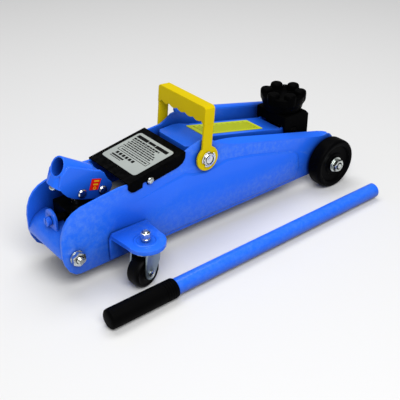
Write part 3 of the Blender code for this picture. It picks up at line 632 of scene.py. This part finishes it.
def pivot_ends():
    """The main pivot shaft and the split rings that hold it."""
    low, high = node_box("pivot_shaft")
    half, radius = high.y, (high.z - low.z) / 2
    end = [(radius, half - 1.0), (radius - 0.8, half - 0.1), (6.4, half), (6.1, half - 2.6),
           (4.9, half - 2.6), (4.6, half - 0.2), (3.2, half), (1.6, half - 0.7),
           (0.0, half - 0.9)]
    start = [(r, -h) for r, h in reversed(end)]
    bm = bmesh.new()
    turned(bm, start + end, tuple(PIVOT), (0, 1, 0), steps=96)
    publish("pivot_shaft_turned", bm, "frame", STEEL, ["pivot_shaft"])
    inner = 8.4
    for label, _ in SIDES:
        node = "pivot_ring_" + label
        low, high = node_box(node)
        outer = (high.z - low.z) / 2
        bm = bmesh.new()
        for start_turn, stop_turn in ((80, 196), (231, 405)):
            steps = round((stop_turn - start_turn) / 6)
            slab(bm, arc(PIVOT.x, PIVOT.z, inner, start_turn, stop_turn, steps)
                 + arc(PIVOT.x, PIVOT.z, outer, stop_turn, start_turn, steps),
                 low.y, high.y, ease=0.35)
        publish(node + "_split", bm, "frame", STEEL, [node])


def rear_end():
    """The crossbar, and the release valve with its painted head and black stem."""
    publish("rear_crossbar_bent", softened("rear_crossbar", 0.8), "frame", BLUE, ["rear_crossbar"])
    head_long = 8.4
    split = node_box("release_valve")[0].x + head_long
    for name, sign, finish, nodes in (("release_head", 1, BLUE, ["release_valve"]),
                                      ("release_stem", -1, BLACK, [])):
        bm = softened("release_valve", 0.45)
        far = [f for f in bm.faces if sign * (f.calc_center_median().x - split) > 0]
        bmesh.ops.delete(bm, geom=far, context="FACES")
        publish(name + "_cut", bm, "release_valve", finish, nodes)


def cover():
    """The folded black cover and its screws."""
    publish("cover_folded", softened("cover", 0.9), "frame", BLACK, ["cover"])
    for label, side in SIDES:
        node = "cover_screw_" + label
        low, high = node_box(node)
        centre = node_centre(node)
        inner = low.y if side > 0 else high.y
        height = high.y - low.y
        bm = bmesh.new()
        turned(bm, [(0, 0), (2.2, 0), (2.2, height - 2.2), (4.2, height - 2.2),
                    (4.2, height - 1.4), (3.4, height - 0.5), (1.8, height),
                    (1.5, height - 0.9), (0, height - 1.0)],
               (centre.x, inner, centre.z), (0, side, 0), steps=48)
        publish(node + "_domed", bm, "frame", ZINC, [node])


def words(count, start, stop, seed):
    """Dashes of uneven length that stand for words along one printed line."""
    shortest, spread, gap = 2.0, 3.6, 0.8
    spans, at = [], start
    for k in range(count):
        end = min(stop, at + shortest + spread * abs(math.sin(seed * 2.3 + k * 1.9)))
        if end - at > gap:
            spans.append((at, end))
        at = end + gap
    return spans


def printed_bars(node, rows, body, name, finish):
    """Thin bars lying on a label: rows of (distance from its front edge, from, to, width)."""
    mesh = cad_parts[node].data
    top = max(mesh.polygons, key=lambda p: p.area * max(0.0, p.normal.z))
    normal = top.normal.copy()
    anchor = TO_JACK @ mesh.vertices[top.vertices[0]].co
    low, high = node_box(node)
    front, middle = high.x, (low.y + high.y) / 2
    turn = Vector((0, 0, 1)).rotation_difference(normal).to_matrix().to_4x4()
    slope = normal.x / normal.z
    bm = bmesh.new()
    for back, start, stop, width in rows:
        part = bmesh.new()
        made = bmesh.ops.create_cube(part, size=1.0)["verts"]
        bmesh.ops.scale(part, verts=made, vec=(width, stop - start, PRINT_LIFT))
        x = front - back * math.cos(math.atan(slope))
        z = anchor.z - slope * (x - anchor.x)
        part.transform(Matrix.Translation(Vector((x, middle + (start + stop) / 2, z))
                                          + normal * PRINT_LIFT / 2) @ turn)
        add(bm, part)
    publish(name, bm, body, finish, (), sharp=30.0)


def cover_print():
    """A heading, lines of dashes, an outlined box, marks and a short bar: no lettering."""
    rows = [(6.6, -29.0, -6.0, 5.0), (6.4, -5.0, 8.0, 4.0), (6.6, 9.0, 30.0, 5.0)]
    for k, (start, stop) in enumerate(((-20.0, 30.0), (-15.0, 29.0), (-19.0, 28.5), (-24.0, 29.0),
                                       (-26.0, 27.0), (-24.0, 29.0))):
        rows += [(12.2 + 3.3 * k, a, b, 1.7 if k else 2.4) for a, b in words(14, start, stop, k)]
    for back in (32.0, 38.4):
        rows.append((back, -29.0, 28.0, 0.8))
    rows += [(35.2, -29.0, -28.2, 6.4), (35.2, 27.2, 28.0, 6.4)]
    rows += [(35.2, a, b, 1.6) for a, b in words(12, -26.0, 25.0, 9)]
    rows += [(43.0, -12.0 + 6.2 * k, -7.6 + 6.2 * k, 4.2) for k in range(6)]
    rows += [(48.2, 2.0, 25.0, 2.3), (51.2, 4.0, 25.0, 1.0)]
    printed_bars("cover_label", rows, "frame", "cover_label_print", INK)


def arm_print():
    """Twenty lines of dashes across the arm's label."""
    rows = []
    for k in range(20):
        rows += [(7.0 + 4.6 * k, a, b, 1.6) for a, b in words(7, -12.5, 9.0 + 3.0 * (k % 2), k)]
    printed_bars("arm_label", rows, "lift_arm", "arm_label_print", OLIVE)


def socket_print():
    """Two short bars and a small ring on the side label."""
    face, centre = node_box("socket_label")[0].y, node_centre("socket_label")
    bm = bmesh.new()
    for x, z, wide in ((2.4, 4.4, 6.4), (0.8, 0.6, 6.0)):
        slab(bm, [(centre.x + x - wide / 2, centre.z + z + 0.9),
                  (centre.x + x + wide / 2, centre.z + z - 0.9),
                  (centre.x + x + wide / 2 - 0.6, centre.z + z - 2.7),
                  (centre.x + x - wide / 2 - 0.6, centre.z + z - 0.9)],
             face - PRINT_LIFT, face, ease=0.0)
    turned(bm, [(1.2, 0), (2.0, 0), (2.0, PRINT_LIFT), (1.2, PRINT_LIFT)],
           (centre.x - 1.4, face, centre.z - 4.4), (0, -1, 0), steps=32, closed=True)
    publish("socket_label_print", bm, "handle_socket", GOLD, (), sharp=30.0)


def caster_bracket(label):
    """Pressed bracket: soft upper rim and a ring raised around the bolt."""
    node = "caster_bracket_" + label
    bolt = node_centre("caster_bolt_" + label)
    top, hole_clear = 55.4, 8.0          # top face of the lobe; the bolt hole's rim stays sharp
    bm = cad_copy(node)
    rim = [e for e in sharp_edges(bm, 25.0)
           if all(abs(v.co.z - top) < 0.1 and (v.co - bolt).xy.length > hole_clear
                  for v in e.verts)]
    bevelled(bm, rim, 2.2, segments=4)
    bevelled(bm, sharp_edges(bm, 40.0), 0.6)
    turned(bm, [(9.6, top - 0.6), (10.6, top + 0.1), (11.8, top + 0.9), (13.2, top + 0.9),
                (14.6, top + 0.1), (15.6, top - 0.6)], (bolt.x, bolt.y, 0), (0, 0, 1),
           steps=72, closed=True, ease=0.8)
    publish(node + "_pressed", bm, "frame", BLUE, [node])


def caster_bolt(label):
    """The swivel bolt, its collar and its nut."""
    node, nut = "caster_bolt_" + label, "caster_nut_" + label
    bolt = node_centre(node)
    low, high = node_box(node)
    radius, head_radius, head_thick = 3.4, 7.0, 3.0
    shank = [(0.0, low.z), (head_radius, low.z), (head_radius, low.z + head_thick),
             (radius, low.z + head_thick), (radius, 54.0)]
    shank += threads(radius, 66.0, high.z - 0.6, pitch=0.9, depth=0.4)
    shank += [(2.6, high.z), (0.0, high.z)]
    bm = bmesh.new()
    turned(bm, shank, (bolt.x, bolt.y, 0), (0, 0, 1), steps=56)
    publish(node + "_threaded", bm, "frame", ZINC, [node])
    low, high = node_box(nut)
    collar = 4.9
    bm = bmesh.new()
    turned(bm, [(3.7, 0), (5.0, 0), (5.0, 2.7), (4.4, 3.1), (4.4, collar), (3.7, collar)],
           (bolt.x, bolt.y, low.z), (0, 0, 1), steps=60, closed=True, ease=0.4)
    hex_nut(bm, 10.4, high.z - low.z - collar, 3.6, (bolt.x, bolt.y, low.z + collar), (0, 0, 1),
            turn=0.2)
    publish(nut + "_cut", bm, "frame", ZINC, [nut])


def caster_swivel(label):
    """The fork, its riveted axle and its wheel, standing as the caster does at rest."""
    body, fork, rivet, wheel = ("caster_" + part + label
                                for part in ("", "fork_", "axle_", "wheel_"))
    publish(fork + "_pressed", softened(fork, 0.6), body, FORK, [fork])
    along = Matrix.Rotation(CASTER_TURN[label], 3, "Z") @ Vector((0, 1, 0))
    cap = [(3.0, 12.9), (4.8, 13.0), (4.7, 13.9), (3.2, 14.8), (1.2, 15.0), (0.9, 14.5),
           (0.0, 14.4)]
    bm = bmesh.new()
    turned(bm, [(r, -h) for r, h in reversed(cap)] + cap, node_centre(rivet), along, steps=48)
    publish(rivet + "_riveted", bm, body, ZINC, [rivet])
    low, high = node_box(wheel)
    radius, half_wide = (high.z - low.z) / 2, 9.1
    half = [(3.3, -half_wide), (8.4, -half_wide), (9.4, 1.2 - half_wide),
            (14.6, 1.4 - half_wide), (15.6, 0.6 - half_wide), (17.2, 0.4 - half_wide),
            (radius - 0.6, 2.6 - half_wide), (radius, 5.4 - half_wide)]
    bm = bmesh.new()
    turned(bm, half + [(r, -h) for r, h in reversed(half)], node_centre(wheel), along, steps=96,
           closed=True, ease=0.8)
    publish(wheel + "_moulded", bm, wheel, TREAD, [wheel])


def casters():
    """Both rear casters with their brackets."""
    for label, _ in SIDES:
        caster_bracket(label)
        caster_bolt(label)
        caster_swivel(label)


# ------------------------------------------------------------- moving pieces
def lift_arm():
    """The lift arm with the roller that the ram pushes and the pin that carries the saddle."""
    publish("lift_arm_pressed", softened("lift_arm", 0.9, angle=20.0), "lift_arm", BLUE,
            ["lift_arm"])
    pin_piece("ram_roller", "lift_arm", STEEL)
    pin_piece("saddle_pin", "lift_arm", BLACK)


def pin_piece(node, body, finish):
    """A plain round pin along Y with turned chamfers."""
    low, high = node_box(node)
    radius, half = (high.z - low.z) / 2, (high.y - low.y) / 2
    end = [(radius, half - 1.0), (radius - 0.9, half), (1.6, half), (1.0, half - 0.8),
           (0, half - 1.0)]
    bm = bmesh.new()
    turned(bm, [(r, -h) for r, h in reversed(end)] + end, node_centre(node), (0, 1, 0), steps=56)
    publish(node + "_turned", bm, body, finish, [node])


def saddle():
    """Cast saddle with six lugs, its bracket, and the pin through the links."""
    low, high = node_box("saddle")
    x, y = (low.x + high.x) / 2, (low.y + high.y) / 2
    base, top = low.z, high.z
    lugs, lug_ring, first_lug = 6, 22.0, 10
    bm = bmesh.new()
    turned(bm, [(0, base), (9.0, base), (9.0, base + 9.3), (24.6, base + 9.3),
                (25.8, base + 12.6), (26.6, base + 16.4), (28.2, base + 20.4),
                (28.6, base + 24.0), (28.6, base + 28.8), (27.4, base + 30.0),
                (21.4, base + 30.0), (20.0, base + 26.4), (0, base + 26.4)], (x, y, 0),
           (0, 0, 1), steps=96)
    for k in range(lugs):
        turn = math.radians(first_lug + 360 / lugs * k)
        turned(bm, [(0, base + 17.4), (5.6, base + 17.4), (7.8, base + 22.0), (8.2, top - 4.5),
                    (7.7, top - 1.4), (5.8, top), (0, top)],
               (x + lug_ring * math.cos(turn), y + lug_ring * math.sin(turn), 0), (0, 0, 1),
               steps=40, ease=1.2)
    publish("saddle_cast", melted(bm, grain=0.55, rounds=4), "saddle", BLACK, ["saddle"], sharp=0)
    publish("saddle_bracket_cast", melted(softened("saddle_bracket", 1.4), grain=0.6, rounds=4),
            "saddle_bracket", BLACK, ["saddle_bracket"], sharp=0)
    pin_piece("link_pin", "saddle_bracket", STEEL)


def links():
    """The parallel links that keep the saddle level, and their stubs on the frame."""
    for label, _ in SIDES:
        node = "link_rod_" + label
        publish(node + "_pressed", softened(node, 0.5), "link_" + label, ZINC, [node])
        stub = "link_stub_" + label
        publish(stub + "_turned", softened(stub, 0.4), "frame", STEEL, [stub])


def handle_socket():
    """Welded lever socket: the tube and its cheeks run together at the welds."""
    bm = melted(cad_copy("handle_socket"), grain=0.55, rounds=5)
    publish("handle_socket_welded", bm, "handle_socket", BLUE, ["handle_socket"], sharp=0)
    for node, body in (("socket_pivot_pin", "frame"), ("socket_roller_pin", "handle_socket")):
        low, high = node_box(node)
        centre = node_centre(node)
        length = high.y - low.y
        bm = bmesh.new()
        turned(bm, [(0, 0), (3.2, 0), (4.0, 0.8), (4.0, length - 2.6), (5.2, length - 2.6),
                    (5.2, length - 1.6), (4.3, length - 0.5), (2.0, length), (0, length)],
               (centre.x, high.y, centre.z), (0, -1, 0), steps=56)
        publish(node + "_headed", bm, body, STEEL, [node])
    publish("socket_clamp_bolt_turned", softened("socket_clamp_bolt", 0.4, angle=20.0),
            "handle_socket", ZINC, ["socket_clamp_bolt"])


def pump():
    """Pump block, ram cylinder, ram and plunger inside the frame."""
    publish("pump_block_cast", melted(softened("pump_block", 1.0), grain=0.7, rounds=4), "frame",
            BLACK, ["pump_block"], sharp=0)
    base, centre = node_box("cylinder")[0].x, node_centre("cylinder")
    bore = 11.3                          # clears the ram
    bm = bmesh.new()
    turned(bm, [(0, 0), (22.0, 0), (22.0, 57.0), (24.0, 57.5), (24.0, 68.0), (22.5, 69.5),
                (bore, 69.5), (bore, 5.0), (0, 5.0)], (base, centre.y, centre.z), (1, 0, 0),
           steps=96, ease=0.7)
    publish("cylinder_turned", bm, "frame", CASTING, ["cylinder"])
    publish("ram_ground", softened("ram", 0.4, angle=20.0), "ram", STEEL, ["ram"])
    low, high = node_box("pump_plunger")
    centre = node_centre("pump_plunger")
    length, radius = high.z - low.z, 5.5
    bm = bmesh.new()
    turned(bm, [(0, 0), (radius - 0.5, 0), (radius, 0.5), (radius, length - 3.2),
                (4.9, length - 2.9), (4.9, length - 1.9), (radius, length - 1.6),
                (4.9, length - 0.4), (3.6, length), (0, length)],
           (centre.x, centre.y, low.z), (0, 0, 1), steps=56)
    publish("pump_plunger_ground", bm, "pump_plunger", STEEL, ["pump_plunger"])


def carry_handle():
    """The yellow strap handle, with its moulded edges run soft."""
    bm = melted(softened("carry_handle", 0.8, angle=40.0), grain=0.45, rounds=3)
    publish("carry_handle_moulded", bm, "carry_handle", YELLOW, ["carry_handle"], sharp=0)


def lever():
    """The loose pump lever: a painted tube and a moulded grip with four grooves."""
    tube_r, grip_r, grip_long = 9.75, 11.7, 86.0
    along = (LEVER_STOP - LEVER_START).normalized()
    length = (LEVER_STOP - LEVER_START).length
    bm = bmesh.new()
    turned(bm, [(tube_r - 0.9, 1.2), (tube_r, 2.0), (tube_r, length - 0.7), (tube_r - 0.6, length),
                (tube_r - 1.4, length), (tube_r - 1.8, length - 0.5), (tube_r - 1.8, 1.2)],
           LEVER_START, along, steps=112, closed=True)
    publish("lever_tube_drawn", bm, "lever", BLUE, ["lever_tube"])
    grooves, groove_gap, groove_deep = 4, 3.4, 0.45
    rings = []
    for k in reversed(range(grooves)):
        h = grip_long - 6.0 - groove_gap * k
        rings += [(grip_r, h - 0.9), (grip_r - groove_deep, h - 0.45),
                  (grip_r - groove_deep, h + 0.45), (grip_r, h + 0.9)]
    bm = bmesh.new()
    turned(bm, [(0, -2.6), (6.5, -2.5), (9.6, -1.6), (11.2, -0.2), (grip_r, 2.0)] + rings
           + [(grip_r, grip_long - 1.6), (grip_r - 0.5, grip_long - 0.4),
              (grip_r - 1.1, grip_long), (tube_r + 0.3, grip_long), (tube_r + 0.3, 0.9), (0, 0.9)],
           LEVER_START, along, steps=128)
    publish("lever_grip_moulded", bm, "lever", GRIP, ["lever_grip"])


# ------------------------------------------------------------ room and camera
def floor():
    """A plain pale floor."""
    bm = bmesh.new()
    bmesh.ops.create_grid(bm, x_segments=2, y_segments=2, size=6.0)
    mesh = bpy.data.meshes.new("floor")
    bm.to_mesh(mesh)
    bm.free()
    piece = bpy.data.objects.new("floor", mesh)
    bpy.context.scene.collection.objects.link(piece)
    finish = Finish("floor_grey", Roughness=0.9, Specular_IOR_Level=0.1)
    finish.shader.inputs["Base Color"].default_value = (0.80, 0.80, 0.80, 1)
    mesh.materials.append(finish.material)


def soft_light(name, power, size, spot):
    """A wide lamp that faces the middle of the jack."""
    lamp = bpy.data.lights.new(name, "AREA")
    lamp.shape = "RECTANGLE"
    lamp.size, lamp.size_y = size
    lamp.energy = power
    piece = bpy.data.objects.new(name, lamp)
    bpy.context.scene.collection.objects.link(piece)
    piece.location = spot
    piece.rotation_mode = "QUATERNION"
    middle = Vector((0, 0, 0.06))
    piece.rotation_quaternion = (middle - Vector(spot)).to_track_quat("-Z", "Y")


def studio():
    """An even pale surround with a key light in front and a top light behind."""
    world = bpy.data.worlds.new("studio")
    world.use_nodes = True
    world.node_tree.nodes["Background"].inputs["Color"].default_value = (1.0, 1.0, 1.0, 1)
    world.node_tree.nodes["Background"].inputs["Strength"].default_value = 0.24
    bpy.context.scene.world = world
    bpy.context.scene.view_settings.view_transform = "Standard"
    soft_light("key", power=27.0, size=(1.4, 1.0), spot=(-0.5, -1.1, 1.5))
    soft_light("top", power=15.0, size=(1.6, 0.8), spot=(0.2, 0.5, 1.7))


def camera():
    """Looks down on the jack from in front of its near rear corner."""
    azimuth, elevation = math.radians(-38.83), math.radians(31.32)
    lens = bpy.data.cameras.new("camera")
    lens.sensor_width = 36.0
    lens.lens = 69.39
    piece = bpy.data.objects.new("camera", lens)
    bpy.context.scene.collection.objects.link(piece)
    back = Vector((math.sin(azimuth) * math.cos(elevation),
                   -math.cos(azimuth) * math.cos(elevation), math.sin(elevation)))
    piece.location = (-0.53202, -0.64688, 0.53643)
    piece.rotation_mode = "QUATERNION"
    piece.rotation_quaternion = (-back).to_track_quat("-Z", "Y")
    lens.clip_start, lens.clip_end = 0.01, 50.0
    bpy.context.scene.camera = piece


def labels():
    """Labels keep their CAD shape; plain bars stand for print."""
    for node, finish in (("cover_label", SILVER), ("arm_label", LIME), ("socket_label", RED)):
        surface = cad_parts[node].data
        surface.materials.clear()
        surface.materials.append(finish)


side_plates()
front_wheels()
axle_ends()
tie_bolt()
pivot_ends()
rear_end()
cover()
casters()
lift_arm()
saddle()
links()
handle_socket()
pump()
carry_handle()
lever()
labels()
cover_print()
arm_print()
socket_print()
floor()
studio()
camera()
